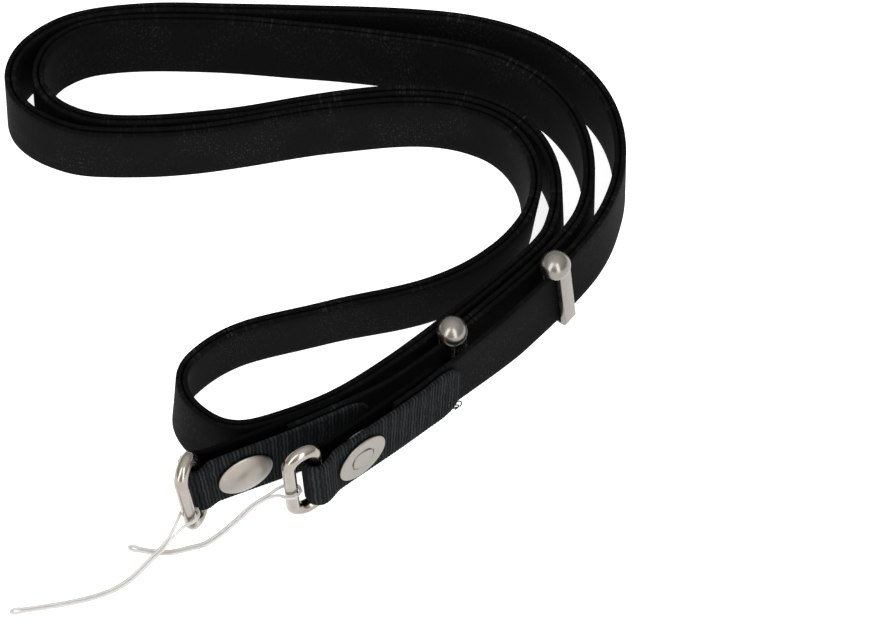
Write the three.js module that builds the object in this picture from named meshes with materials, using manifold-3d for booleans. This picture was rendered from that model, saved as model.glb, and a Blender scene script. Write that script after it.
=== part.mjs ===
// Phone crossbody strap: two webbings doubled between two ball adjusters, folded into a bundle that stands on edge
// Each webbing ends in a ribbon tab round a wire ring with a thin cord loop. Millimetres, +Z up.
import * as THREE from 'three';
import { mergeVertices } from 'three/addons/utils/BufferGeometryUtils.js';
import Module from 'manifold-3d';

// Webbing
const STRAP_WIDTH = 15;
const WEB = 1;
const LAYER_GAP = 0.25;
const PASS_GAP = 0.25;
const BUNDLE_LENGTH = 119;
const BUNDLE_DEPTH = 112;
const SPANS = 4;

// End tabs
const RIBBON = 1;
const TAB_GAP = 0.3;
const TAB_A_LENGTH = 34.8;
const TAB_B_LENGTH = 34;
const STRAP_IN_TAB = 18.5;
const TIP_ROUND = 5;
const OPENING_A_LENGTH = 3.2;
const OPENING_B_LENGTH = 4.4;
const FOLD_CLEAR = 0.4;
const FOLD_NARROW = 0.96;
const TAB_A_PITCH = 8;
const TAB_B_PITCH = 6;
const PITCH_LENGTH = 20;

// Rings
const WIRE = 2.6;
const RING_CLEAR = 0.4;
const RING_SLACK = 2.1;
const RING_SPREAD = 5.4;
const RING_ROUND = 3;
const BAR_ROUND = 2.3;
const RING_A_TURN = 44;
const RING_B_TURN = -12;

// Snap buttons
const SNAP = 10.9;
const SNAP_A_PLACE = 8.8;
const SNAP_B_PLACE = 9.2;
const SNAP_GAP = 0.2;
const CAP_RIM = 0.4;
const CAP_DOME = 0.8;
const CAP_BOSS = 5;
const BOSS_STEP = 0.15;
const BACK_WALL = 0.45;
const FLANGE_WALL = 0.4;
const CORE = 7;

// Ball adjusters
const BALL = 5.8;
const BAND_WIDTH = 3;
const BAND_WALL = 0.6;
const LEG_WALL = 1.25;
const BAND_CLEAR = 0.35;
const BALL_RISE = 0.1;
const BALL_CLEAR = 0.35;
const ADJUSTER_1_PLACE = 55.3;
const ADJUSTER_2_PLACE = 62.16;
const ADJUSTER_2_TILT = 4;

// Cord loops
const CORD = 0.6;
const CORD_GAP = 0.22;
const HOOK_A_HEIGHT = 6.5;
const HOOK_B_HEIGHT = 9.5;

const PITCH = WEB + LAYER_GAP;
const LANE = 2 * PITCH + PASS_GAP - LAYER_GAP;
const RING_TILT = Math.max(TAB_A_PITCH, TAB_B_PITCH) * Math.PI / 180;
const RING_LIFT = WIRE + RING_CLEAR + RING_SPREAD / 2 * Math.sin(RING_TILT);
const FOLD = WIRE / 2 + FOLD_CLEAR + RIBBON / 2;
const SPACING = WEB / 2 + TAB_GAP + RIBBON / 2;
const rad = THREE.MathUtils.degToRad;
const BAND_LIFT = BAND_WALL + BAND_CLEAR + BAND_WIDTH / 2 * Math.sin(rad(ADJUSTER_2_TILT));

// Route of the doubled webbing, a row per fold: place as shares of the bundle's length and depth,
// lanes to the left of the seam, lean to the left in degrees, shares of the ring's and the band's lift
const ROUTE_COLUMNS = ['along', 'deep', 'lane', 'lean', 'ring', 'band'];
const ROUTE = [
  // front run, from ring B
  [-0.0149, -0.414, -1.5, -3, 1, 0],
  [0.1406, -0.2666, -1.54, -4, 0.3, 0.7],
  [0.292, -0.1076, -1.72, 2, 0, 1],
  [0.4042, 0.0357, -1.72, 3, 0, 1],
  // outermost lane of the right bend
  [0.4452, 0.1327, -1.55, 0, 0, 0.2],
  [0.4519, 0.2256, -1.5, 0, 0, 0],
  [0.4259, 0.3084, -1.5, 0, 0, 0],
  [0.3755, 0.3786, -1.17, 0, 0, 0],
  [0.2904, 0.4344, -0.83, -1, 0, 0],
  // outer lane of the far run
  [0.1585, 0.4666, -0.5, -2, 0, 0],
  [-0.0558, 0.4737, -0.5, -3, 0, 0],
  [-0.2609, 0.479, -0.5, -3, 0, 0],
  [-0.3749, 0.4608, -0.5, -2, 0, 0],
  // left fold, outer lane
  [-0.4423, 0.4169, -0.5, -1, 0, 0],
  [-0.4712, 0.3629, -0.5, 0, 0, 0],
  [-0.4633, 0.3111, -0.5, 0, 0, 0],
  [-0.418, 0.2689, -0.5, -2, 0, 0],
  [-0.338, 0.2451, -0.5, -4, 0, 0],
  // outer lane of the near run
  [-0.1829, 0.253, -0.5, -4, 0, 0],
  [0.0195, 0.2941, -0.5, -4, 0, 0],
  [0.1764, 0.3085, -0.5, -4, 0, 0],
  [0.2744, 0.2951, -1, -2, 0, 0],
  // innermost lane of the right bend
  [0.3471, 0.2424, -1.5, 2, 0, 0],
  [0.376, 0.1506, -1.5, 6, 0, 0],
  [0.3599, 0.0543, -1.5, 7, 0, 0],
  [0.2992, -0.0329, -1.5, 7, 0, 0],
  // far side of the small loop
  [0.1986, -0.1001, -1.5, 8, 0, 0],
  [0.0326, -0.1405, -1.17, 9, 0, 0],
  [-0.1063, -0.1781, -0.83, 9, 0, 0],
  // end of the small loop
  [-0.1776, -0.2268, -0.5, 7, 0, 0],
  [-0.1998, -0.2736, -0.25, 4, 0, 0],
  [-0.1849, -0.3259, 0, 2, 0, 0],
  [-0.1334, -0.3678, 0.25, 0, 0, 0],
  [-0.0623, -0.3651, 0.5, 0, 0, 0],
  // near side of the small loop
  [0.0579, -0.3022, 0.5, 0, 0, 0],
  [0.1978, -0.1824, 0.5, 0, 0, 0],
  [0.3424, -0.0287, 0.5, 0, 0, 0],
  // second lane of the right bend
  [0.3883, 0.0524, 0.5, 2, 0, 0],
  [0.3883, 0.1503, 0.25, 2, 0, 0],
  [0.3521, 0.2321, 0, 2, 0, 0],
  [0.2911, 0.2842, -0.25, 4, 0, 0],
  // inner lane of the near run
  [0.1975, 0.3076, -0.5, 4, 0, 0],
  [0.0576, 0.3032, -0.5, 4, 0, 0],
  [-0.1455, 0.2613, -0.5, 4, 0, 0],
  [-0.3062, 0.2469, -0.5, 3, 0, 0],
  // left fold, inner lane
  [-0.3929, 0.2686, -0.5, 1, 0, 0],
  [-0.4422, 0.3192, -0.5, 0, 0, 0],
  [-0.4462, 0.3835, -0.5, 0, 0, 0],
  [-0.4087, 0.4394, -0.5, 2, 0, 0],
  // inner lane of the far run
  [-0.3326, 0.4709, -0.5, 4, 0, 0],
  [-0.176, 0.4745, -0.5, 4, 0, 0],
  [0.0425, 0.4521, -0.5, 3, 0, 0],
  [0.2332, 0.4196, -0.5, 1, 0, 0],
  // third lane of the right bend
  [0.3353, 0.3616, 0, 0, 0, 0],
  [0.3892, 0.2891, 0.5, 0, 0, 0],
  [0.4216, 0.1998, 0.5, 0, 0, 0],
  [0.42, 0.1061, 0.5, 0, 0, 0],
  // run to ring A
  [0.3814, 0.0163, 0.5, 0, 0, 0.5],
  [0.2623, -0.1278, 0.5, 0, 0, 1],
  [0.1202, -0.2616, 0.5, 1, 0, 1],
  [-0.0214, -0.3532, 0.5, 2, 0.5, 0.5],
  [-0.1820, -0.4379, 0.5, 3, 1, 0],
];

const column = (row, name) => row[ROUTE_COLUMNS.indexOf(name)];
const seam = ROUTE.map((row) => new THREE.Vector2(
  column(row, 'along') * BUNDLE_LENGTH,
  column(row, 'deep') * BUNDLE_DEPTH,
));
const stations = seam.map((point, i) => {
  const last = seam.length - 1;
  const run = seam[Math.min(i + 1, last)].clone().sub(seam[Math.max(i - 1, 0)]).normalize();
  const left = new THREE.Vector2(-run.y, run.x);
  return point.clone().addScaledVector(left, column(ROUTE[i], 'lane') * LANE);
});
const LAST = stations.length - 1;

// Smooth value between stations, with mirrored neighbours past the ends
function blend(read, t) {
  const i = Math.min(Math.floor(t), LAST - 1);
  const f = t - i;
  const at = (k) => {
    if (k < 0) return 2 * read(0) - read(1);
    if (k > LAST) return 2 * read(LAST) - read(LAST - 1);
    return read(k);
  };
  const [a, b, c, d] = [at(i - 1), at(i), at(i + 1), at(i + 2)];
  return 0.5 * (2 * b + (c - a) * f + (2 * a - 5 * b + 4 * c - d) * f ** 2 + (3 * b - a - 3 * c + d) * f ** 3);
}

function even(name, t) {
  const i = Math.min(Math.floor(t), LAST - 1);
  return THREE.MathUtils.lerp(column(ROUTE[i], name), column(ROUTE[i + 1], name), t - i);
}

function plan(t) {
  return new THREE.Vector2(blend((k) => stations[k].x, t), blend((k) => stations[k].y, t));
}

// Frame of the doubled webbing at a place on its route
function frame(t) {
  const step = 0.01;
  const run = plan(Math.min(t + step, LAST)).sub(plan(Math.max(t - step, 0))).normalize();
  const lean = rad(even('lean', t));
  const along = new THREE.Vector3(run.x, run.y, 0);
  const side = new THREE.Vector3(-run.y * Math.cos(lean), run.x * Math.cos(lean), -Math.sin(lean));
  const up = new THREE.Vector3(-run.y * Math.sin(lean), run.x * Math.sin(lean), Math.cos(lean));
  const lift = even('ring', t) * RING_LIFT + even('band', t) * BAND_LIFT;
  const half = Math.cos(lean) * STRAP_WIDTH / 2 + Math.abs(Math.sin(lean)) * (PITCH + WEB) / 2;
  const at = plan(t);
  return { along, side, up, at: new THREE.Vector3(at.x, at.y, lift + half) };
}

// Bends a straight prism so that its length follows a row of frames
function bend(across, high, steps, place) {
  const shape = new THREE.Shape();
  shape.moveTo(-across / 2, -high / 2);
  shape.lineTo(across / 2, -high / 2);
  shape.lineTo(across / 2, high / 2);
  shape.lineTo(-across / 2, high / 2);
  const geometry = new THREE.ExtrudeGeometry(shape, { depth: 1, steps, bevelEnabled: false });
  const position = geometry.getAttribute('position');
  const vertex = new THREE.Vector3();
  for (let i = 0; i < position.count; i += 1) {
    vertex.fromBufferAttribute(position, i);
    const { at, side, up } = place(vertex.z);
    const point = at.clone().addScaledVector(side, vertex.x).addScaledVector(up, vertex.y);
    position.setXYZ(i, point.x, point.y, point.z);
  }
  return geometry;
}

// Route parameter at a length from an end of the route
function walk(start, sign, length) {
  let t = start;
  let left = length;
  const step = 0.02;
  while (left > 0) {
    const piece = plan(t).distanceTo(plan(t + sign * step));
    if (piece > left) return t + sign * step * left / piece;
    left -= piece;
    t += sign * step;
  }
  return t;
}

// One webbing from a place on the route to another, beside the middle line
function webbing(from, to, offset) {
  const steps = Math.ceil((to - from) * SPANS);
  return bend(WEB, STRAP_WIDTH, steps, (share) => {
    const { at, side, up } = frame(THREE.MathUtils.lerp(from, to, share));
    return { at: at.clone().addScaledVector(side, offset), side, up };
  });
}

// Frames of a webbing's end, by distance from the ring's bar; towards the webbing is positive
function endFrames(start, sign, offset, pitch, viewer) {
  return (distance) => {
    const t = walk(start, sign, Math.max(distance, 0));
    const here = frame(t);
    const along = here.along.clone().multiplyScalar(sign);
    const tip = rad(pitch) * Math.max(0, 1 - distance / PITCH_LENGTH);
    const up = here.up.clone().multiplyScalar(Math.cos(tip)).addScaledVector(along, -Math.sin(tip));
    const at = here.at.clone().addScaledVector(here.side, offset);
    at.addScaledVector(along, Math.min(distance, 0));
    return { at, along, up, side: here.side.clone().multiplyScalar(viewer) };
  };
}

// Ribbon tab: near layer, fold round the bar, back layer; its tip is rounded
function tab(frames, length, opening) {
  const foldLength = Math.PI * FOLD;
  const backLength = length - TIP_ROUND;
  const whole = length + foldLength + backLength;
  const marks = [0, 0.15, 0.4, 0.75, 1.2].map((share) => share * TIP_ROUND);
  const add = (from, to, count) => {
    for (let i = 1; i <= count; i += 1) marks.push(THREE.MathUtils.lerp(from, to, i / count));
  };
  add(TIP_ROUND * 1.2, length - opening, 6);
  add(length - opening, length, 4);
  add(length, length + foldLength, 10);
  add(length + foldLength, length + foldLength + opening, 4);
  add(length + foldLength + opening, whole, 6);
  const closed = (distance) => THREE.MathUtils.smoothstep(distance, 0, opening);
  return bend(RIBBON, STRAP_WIDTH, marks.length - 1, (part) => {
    const s = marks[Math.round(part * (marks.length - 1))];
    if (s < length || s > whole - backLength) {
      const near = s < length;
      const distance = near ? length - s : s - length - foldLength;
      const here = frames(distance);
      const round = Math.max(0, 1 - s / TIP_ROUND);
      const corner = near ? 1 - (1 - Math.sqrt(1 - round ** 2)) * 2 * TIP_ROUND * 0.85 / STRAP_WIDTH : 1;
      const share = closed(distance);
      const flip = near ? 1 : -1;
      return {
        at: here.at.clone().addScaledVector(here.side, flip * THREE.MathUtils.lerp(FOLD, SPACING, share)),
        side: here.side.clone().multiplyScalar(flip),
        up: here.up.clone().multiplyScalar(corner * THREE.MathUtils.lerp(FOLD_NARROW, 1, share)),
      };
    }
    const here = frames(0);
    const turn = (s - length) / FOLD;
    const outward = here.side.clone().multiplyScalar(Math.cos(turn)).addScaledVector(here.along, -Math.sin(turn));
    return {
      at: here.at.clone().addScaledVector(outward, FOLD),
      side: outward,
      up: here.up.clone().multiplyScalar(FOLD_NARROW),
    };
  });
}

// Frame of a ring, turned about the bar that its ribbon holds
function ringFrame(frames, turn) {
  const { at, along, up } = frames(0);
  const away = along.clone().negate().addScaledVector(up, along.dot(up));
  away.normalize().applyAxisAngle(up, rad(turn));
  return { at, up, away, through: up.clone().cross(away).normalize() };
}

// Round wire ring: a torus whose middle circle becomes a bar, a round end, a bar and a round end
function ring(here) {
  const high = STRAP_WIDTH + RING_CLEAR + RING_SLACK + WIRE;
  const rise = (RING_SLACK - RING_CLEAR) / 2;
  const top = high / 2;
  const free = RING_SPREAD - RING_ROUND;
  const bar = (x0, y0, x1, y1) => new THREE.LineCurve(new THREE.Vector2(x0, y0), new THREE.Vector2(x1, y1));
  const turned = (x, y, round, start) => (
    new THREE.EllipseCurve(x, y, round, round, start, start - Math.PI / 2, true)
  );
  const outline = [
    [bar(0, BAR_ROUND - top, 0, top - BAR_ROUND), 3],
    [turned(BAR_ROUND, top - BAR_ROUND, BAR_ROUND, Math.PI), 6],
    [bar(BAR_ROUND, top, free, top), 1],
    [turned(free, top - RING_ROUND, RING_ROUND, Math.PI / 2), 7],
    [bar(RING_SPREAD, top - RING_ROUND, RING_SPREAD, RING_ROUND - top), 3],
    [turned(free, RING_ROUND - top, RING_ROUND, 0), 7],
    [bar(free, -top, BAR_ROUND, -top), 1],
    [turned(BAR_ROUND, BAR_ROUND - top, BAR_ROUND, -Math.PI / 2), 6],
  ];
  const marks = outline.flatMap(([curve, count]) => (
    Array.from({ length: count }, (unused, i) => [curve.getPoint(i / count), curve.getTangent(i / count)])
  ));
  const sides = 10;
  const around = marks.length;
  const geometry = new THREE.TorusGeometry(100, WIRE / 2, sides, around);
  const position = geometry.getAttribute('position');
  const vertex = new THREE.Vector3();
  for (let i = 0; i < position.count; i += 1) {
    vertex.fromBufferAttribute(position, i);
    const angle = Math.atan2(vertex.y, vertex.x);
    const [place, next] = marks[(Math.round(angle / (2 * Math.PI) * around) + around) % around];
    const outward = new THREE.Vector2(-next.y, next.x);
    const out = Math.hypot(vertex.x, vertex.y) - 100;
    const point = place.clone().addScaledVector(outward, out);
    const lie = here.at.clone().addScaledVector(here.away, point.x).addScaledVector(here.up, point.y + rise);
    lie.addScaledVector(here.through, vertex.z);
    position.setXYZ(i, lie.x, lie.y, lie.z);
  }
  return geometry;
}

// Turned disc on a webbing's end, its axis square to the ribbon
function disc(frames, place, profile, out) {
  const here = frames(place);
  const axis = here.side.clone().multiplyScalar(Math.sign(out));
  const geometry = new THREE.LatheGeometry(profile.map(([r, h]) => new THREE.Vector2(r, h)), 24);
  const basis = new THREE.Matrix4().makeBasis(axis.clone().cross(here.up), axis, here.up);
  geometry.applyMatrix4(basis);
  const at = here.at.clone().addScaledVector(here.side, out);
  geometry.translate(at.x, at.y, at.z);
  return geometry;
}

// Ball and band cast in one, with the slot that the webbings slide through
const wasm = await Module();
wasm.setup();
const { Manifold, CrossSection } = wasm;

function adjuster(t, viewer, tilt) {
  const here = frame(t);
  const up = here.up.clone().applyAxisAngle(here.side, rad(tilt));
  const along = here.along.clone().applyAxisAngle(here.side, rad(tilt));
  const slotAcross = PITCH + WEB + 2 * BAND_CLEAR;
  const slotHigh = STRAP_WIDTH + 2 * BAND_CLEAR;
  const across = slotAcross + LEG_WALL + BAND_WALL;
  const middle = viewer * (LEG_WALL - BAND_WALL) / 2;
  const high = slotHigh + 2 * BAND_WALL;
  const round = 2 * BAND_WALL;
  const outline = CrossSection.square([across - 2 * round, high - 2 * round], true).offset(round, 'Round', 2, 24);
  const band = Manifold.extrude(outline, BAND_WIDTH, 0, 0, [1, 1], true).translate([middle, 0, 0]);
  const ball = Manifold.sphere(BALL / 2, 24).translate([middle, high / 2 + BALL_RISE, 0]);
  const slot = Manifold.cube([slotAcross, slotHigh, 2 * BALL], true);
  const bay = Manifold.cube([slotAcross + 2 * BALL_CLEAR, slotHigh, 2 * BALL], true);
  const mesh = band.add(ball.subtract(bay)).subtract(slot).getMesh();
  const geometry = new THREE.BufferGeometry();
  const count = mesh.vertProperties.length / mesh.numProp;
  const points = new Float32Array(count * 3);
  for (let i = 0; i < count; i += 1) {
    const [x, y, z] = [0, 1, 2].map((k) => mesh.vertProperties[i * mesh.numProp + k]);
    const point = here.at.clone().addScaledVector(here.side, x).addScaledVector(up, y).addScaledVector(along, z);
    points.set([point.x, point.y, point.z], i * 3);
  }
  geometry.setAttribute('position', new THREE.BufferAttribute(points, 3));
  geometry.setIndex(Array.from(mesh.triVerts));
  return geometry;
}

// Cord loops: middle line from the ring's free bar to the tip, and half the distance between the two strands
const CORD_COLUMNS = ['x', 'y', 'z', 'apart'];
// Middle of a cord loop from its ring outwards: place from the free bar, height, half the strands' distance
const CORD_A_POINTS = [
  [-1.7, -1.5, 5.6, 0.85],
  [-3.1, -3, 4.4, 0.38],
  [-5, -5, 3, 0.31],
  [-7.6, -7.4, 1.8, 0.31],
  [-10.9, -10.6, 0.9, 0.31],
  [-14, -12.6, 0.5, 0.31],
  [-17.5, -14, 0.35, 0.31],
  [-21.7, -15.2, 0.35, 0.31],
  [-25.5, -16, 0.35, 0.31],
  [-30, -16.8, 0.35, 0.33],
  [-32, -17.1, 0.35, 0.42],
];
const CORD_B_POINTS = [
  [-2.3, 0.2, 9, 0.85],
  [-3.7, 0.1, 8.1, 0.4],
  [-5.4, -0.2, 6.9, 0.31],
  [-7.5, -0.9, 5.4, 0.31],
  [-10.2, -2.4, 3.3, 0.31],
  [-13.4, -4.3, 1.4, 0.31],
  [-16.1, -5.7, 0.5, 0.31],
  [-19.2, -6.6, 0.35, 0.31],
  [-22.3, -7.4, 0.35, 0.31],
  [-25.3, -7.3, 0.35, 0.31],
  [-27.9, -6.8, 0.35, 0.33],
  [-29.4, -6.4, 0.35, 0.42],
];

// The loop's hook round the free bar: turn from the way out, rise from the hook's height
const HOOK = [
  [175, 0.7],
  [130, 0.6],
  [85, 0.4],
  [-85, -0.4],
  [-130, -0.3],
  [-175, -0.1],
];
// Place on a ring's free bar at a height above the ground
function freeBar(here, height) {
  const bar = here.at.clone().addScaledVector(here.away, RING_SPREAD);
  return bar.addScaledVector(here.up, (height - bar.z) / here.up.z);
}

// Both strands of a loop and their hook round a ring's free bar, as one open line
function strands(points, here, level) {
  const bar = freeBar(here, level);
  const rows = points.map((row) => new THREE.Vector3(row[0] + bar.x, row[1] + bar.y, row[2]));
  const middle = new THREE.CatmullRomCurve3(rows);
  const near = [];
  const far = [];
  rows.forEach((at, i) => {
    const run = middle.getTangent(i / (rows.length - 1)).setZ(0).normalize();
    const beside = new THREE.Vector3(-run.y, run.x, 0).multiplyScalar(points[i][3]);
    near.push(at.clone().add(beside));
    far.push(at.clone().sub(beside));
  });
  const out = new THREE.Vector3(points[0][0], points[0][1], 0).normalize();
  const hook = HOOK.map(([turn, rise]) => {
    const reach = out.clone().applyAxisAngle(new THREE.Vector3(0, 0, 1), rad(turn));
    return freeBar(here, level + rise).addScaledVector(reach, WIRE / 2 + CORD_GAP + CORD / 2);
  });
  const end = middle.getTangent(1).setZ(0).normalize();
  const tip = rows[rows.length - 1].clone().addScaledVector(end, 0.9 * CORD);
  const half = hook.length / 2;
  return [...hook.slice(0, half), ...near, tip, ...far.reverse(), ...hook.slice(half)];
}

function cord(points, here, level) {
  const route = new THREE.CatmullRomCurve3(strands(points, here, level));
  const section = new THREE.Shape();
  for (let i = 0; i < 8; i += 1) {
    const angle = 2 * Math.PI * i / 8;
    section[i ? 'lineTo' : 'moveTo'](CORD / 2 * Math.cos(angle), CORD / 2 * Math.sin(angle));
  }
  const steps = Math.min(80, Math.ceil(route.getLength() / (2.2 * CORD)));
  return new THREE.ExtrudeGeometry(section, { extrudePath: route, steps, bevelEnabled: false });
}

// Closed mesh of shared corners, without the flat triangles at a turned disc's axis
function solid(geometry) {
  const bare = new THREE.BufferGeometry();
  bare.setAttribute('position', geometry.getAttribute('position'));
  if (geometry.index) bare.setIndex(geometry.index);
  const joined = mergeVertices(bare, 1e-4);
  const kept = [];
  for (let i = 0; i < joined.index.count; i += 3) {
    const [a, b, c] = [0, 1, 2].map((k) => joined.index.getX(i + k));
    if (a !== b && b !== c && c !== a) kept.push(a, b, c);
  }
  joined.setIndex(kept);
  joined.computeVertexNormals();
  return joined;
}

const sideA = endFrames(LAST, -1, PITCH / 2, TAB_A_PITCH, 1);
const sideB = endFrames(0, 1, -PITCH / 2, TAB_B_PITCH, -1);
const ringA = ringFrame(sideA, RING_A_TURN);
const ringB = ringFrame(sideB, RING_B_TURN);
const adjuster1 = walk(LAST, -1, ADJUSTER_1_PLACE);
const adjuster2 = walk(0, 1, ADJUSTER_2_PLACE);
const strapAEnd = walk(LAST, -1, STRAP_IN_TAB);
const strapBEnd = walk(0, 1, STRAP_IN_TAB);

const capFace = SPACING + RIBBON / 2 + SNAP_GAP;
const socketWall = 2 * (SPACING - RIBBON / 2 - SNAP_GAP);
const domed = [
  [0, 0],
  [SNAP / 2 - 0.3, 0],
  [SNAP / 2, CAP_RIM / 2],
  [SNAP / 2 - 0.1, CAP_RIM],
  [SNAP / 2 * 0.85, CAP_RIM + CAP_DOME * 0.4],
  [SNAP / 2 * 0.6, CAP_RIM + CAP_DOME * 0.75],
  [SNAP / 2 * 0.3, CAP_RIM + CAP_DOME * 0.95],
  [0, CAP_RIM + CAP_DOME],
];
const flat = [
  [0, 0],
  [SNAP / 2 - 0.3, 0],
  [SNAP / 2, CAP_RIM / 2],
  [SNAP / 2 - 0.1, CAP_RIM],
  [CAP_BOSS / 2 + 0.15, CAP_RIM],
  [CAP_BOSS / 2 - 0.15, CAP_RIM + BOSS_STEP],
  [0, CAP_RIM + BOSS_STEP],
];
const socket = [
  [0, -socketWall / 2],
  [CORE / 2, -socketWall / 2],
  [CORE / 2, -FLANGE_WALL / 2],
  [SNAP / 2, -FLANGE_WALL / 2],
  [SNAP / 2, FLANGE_WALL / 2],
  [CORE / 2, FLANGE_WALL / 2],
  [CORE / 2, socketWall / 2],
  [0, socketWall / 2],
];
const back = [
  [0, 0],
  [SNAP / 2, 0],
  [SNAP / 2, BACK_WALL * 0.6],
  [SNAP / 2 - 0.4, BACK_WALL],
  [0, BACK_WALL],
];

const satin = { color: 0x131315, roughness: 0.6 };
const ribbed = { color: 0x2a2d32, roughness: 0.8 };
const nickel = { color: 0xb8b0a8, roughness: 0.3, metalness: 1 };
const clear = { color: 0xd8d6d2, roughness: 0.4 };
const pieces = [
  ['strap_a', webbing(adjuster2, strapAEnd, PITCH / 2), satin],
  ['strap_b', webbing(strapBEnd, adjuster1, -PITCH / 2), satin],
  ['end_tab_a', tab(sideA, TAB_A_LENGTH, OPENING_A_LENGTH), ribbed],
  ['end_tab_b', tab(sideB, TAB_B_LENGTH, OPENING_B_LENGTH), ribbed],
  ['ring_a', ring(ringA), nickel],
  ['ring_b', ring(ringB), nickel],
  ['snap_a_cap', disc(sideA, SNAP_A_PLACE, domed, capFace), nickel],
  ['snap_a_socket', disc(sideA, SNAP_A_PLACE, socket, 1e-6), nickel],
  ['snap_a_back', disc(sideA, SNAP_A_PLACE, back, -capFace), nickel],
  ['snap_b_cap', disc(sideB, SNAP_B_PLACE, flat, capFace), nickel],
  ['snap_b_socket', disc(sideB, SNAP_B_PLACE, socket, 1e-6), nickel],
  ['snap_b_back', disc(sideB, SNAP_B_PLACE, back, -capFace), nickel],
  ['adjuster_1', adjuster(adjuster1, 1, 0), nickel],
  ['adjuster_2', adjuster(adjuster2, -1, -ADJUSTER_2_TILT), nickel],
  ['cord_loop_a', cord(CORD_A_POINTS, ringA, HOOK_A_HEIGHT), clear],
  ['cord_loop_b', cord(CORD_B_POINTS, ringB, HOOK_B_HEIGHT), clear],
];

const group = new THREE.Group();
group.name = 'phone_crossbody_strap';
pieces.forEach(([name, geometry, look]) => {
  const mesh = new THREE.Mesh(solid(geometry), new THREE.MeshStandardMaterial(look));
  mesh.name = name;
  group.add(mesh);
});

// The origin lies on the ground under the middle of everything but the cords
const box = new THREE.Box3();
group.children.forEach((mesh) => {
  mesh.geometry.computeBoundingBox();
  if (!mesh.name.startsWith('cord')) box.union(mesh.geometry.boundingBox);
});
const middle = box.getCenter(new THREE.Vector3());
group.children.forEach((mesh) => mesh.geometry.translate(-middle.x, -middle.y, 0));

export default group;
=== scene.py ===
"""Looks of a phone crossbody strap: two black webbings doubled and folded into a bundle that stands
on edge, with ribbon end tabs, snap buttons, wire rings, ball adjusters and thin cord loops."""

import bisect
import math

import bmesh
import bpy
from mathutils import Matrix, Vector


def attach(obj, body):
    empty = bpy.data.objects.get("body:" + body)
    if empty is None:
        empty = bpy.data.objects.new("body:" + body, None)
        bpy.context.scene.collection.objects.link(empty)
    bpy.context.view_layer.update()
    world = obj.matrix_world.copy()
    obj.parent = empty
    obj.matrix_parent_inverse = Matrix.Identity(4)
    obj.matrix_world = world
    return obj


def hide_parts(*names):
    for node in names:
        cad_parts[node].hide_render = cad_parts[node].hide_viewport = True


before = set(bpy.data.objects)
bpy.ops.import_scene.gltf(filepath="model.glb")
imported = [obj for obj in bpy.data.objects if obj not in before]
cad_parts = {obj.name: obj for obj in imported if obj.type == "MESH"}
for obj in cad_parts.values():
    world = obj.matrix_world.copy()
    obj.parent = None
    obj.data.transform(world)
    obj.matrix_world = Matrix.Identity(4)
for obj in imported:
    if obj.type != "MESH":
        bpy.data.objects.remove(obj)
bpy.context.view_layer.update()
MM = 0.001

# Webbing, in millimetres
STRAP_WIDTH = 15
WEB = 1
LAYER_GAP = 0.25
PASS_GAP = 0.25
BUNDLE_LENGTH = 119
BUNDLE_DEPTH = 112
CENTRE = Vector((0.1192, -0.7072, 0))

# End tabs
RIBBON = 1
TAB_GAP = 0.3
TAB_A_LENGTH = 34.8
TAB_B_LENGTH = 34
STRAP_IN_TAB = 18.5
TIP_ROUND = 5
OPENING_A_LENGTH = 3.2
OPENING_B_LENGTH = 4.4
FOLD_CLEAR = 0.4
FOLD_NARROW = 0.96
TAB_A_PITCH = 8
TAB_B_PITCH = 6
PITCH_LENGTH = 20

# Rings
WIRE = 2.6
RING_CLEAR = 0.4
RING_SLACK = 2.1
RING_SPREAD = 5.4
RING_ROUND = 3
BAR_ROUND = 2.3
RING_A_TURN = 44
RING_B_TURN = -12

# Snap buttons
SNAP = 10.9
SNAP_A_PLACE = 8.8
SNAP_B_PLACE = 9.2
SNAP_GAP = 0.2
CAP_RIM = 0.4
CAP_DOME = 0.8
CAP_BOSS = 5
BOSS_STEP = 0.15
BACK_WALL = 0.45
FLANGE_WALL = 0.4
CORE = 7

# Ball adjusters
BALL = 5.8
BAND_WIDTH = 3
BAND_WALL = 0.6
LEG_WALL = 1.25
BAND_CLEAR = 0.35
BALL_RISE = 0.1
BALL_CLEAR = 0.35
ADJUSTER_1_PLACE = 55.3
ADJUSTER_2_PLACE = 62.16
ADJUSTER_2_TILT = 4

CORD = 0.6
THREAD = 0.24

# Weave: from one rib of the ribbon to the next, and from one shown pick of the webbing to the next, which
# is coarser than the real one so that it shows
RIB = 0.72
WEBBING_PICK = 0.42

PITCH = WEB + LAYER_GAP
LANE = 2 * PITCH + PASS_GAP - LAYER_GAP
RING_LIFT = WIRE + RING_CLEAR + RING_SPREAD / 2 * math.sin(math.radians(TAB_A_PITCH))
BAND_LIFT = BAND_WALL + BAND_CLEAR + BAND_WIDTH / 2 * math.sin(math.radians(ADJUSTER_2_TILT))
FOLD = WIRE / 2 + FOLD_CLEAR + RIBBON / 2
SPACING = WEB / 2 + TAB_GAP + RIBBON / 2

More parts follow.
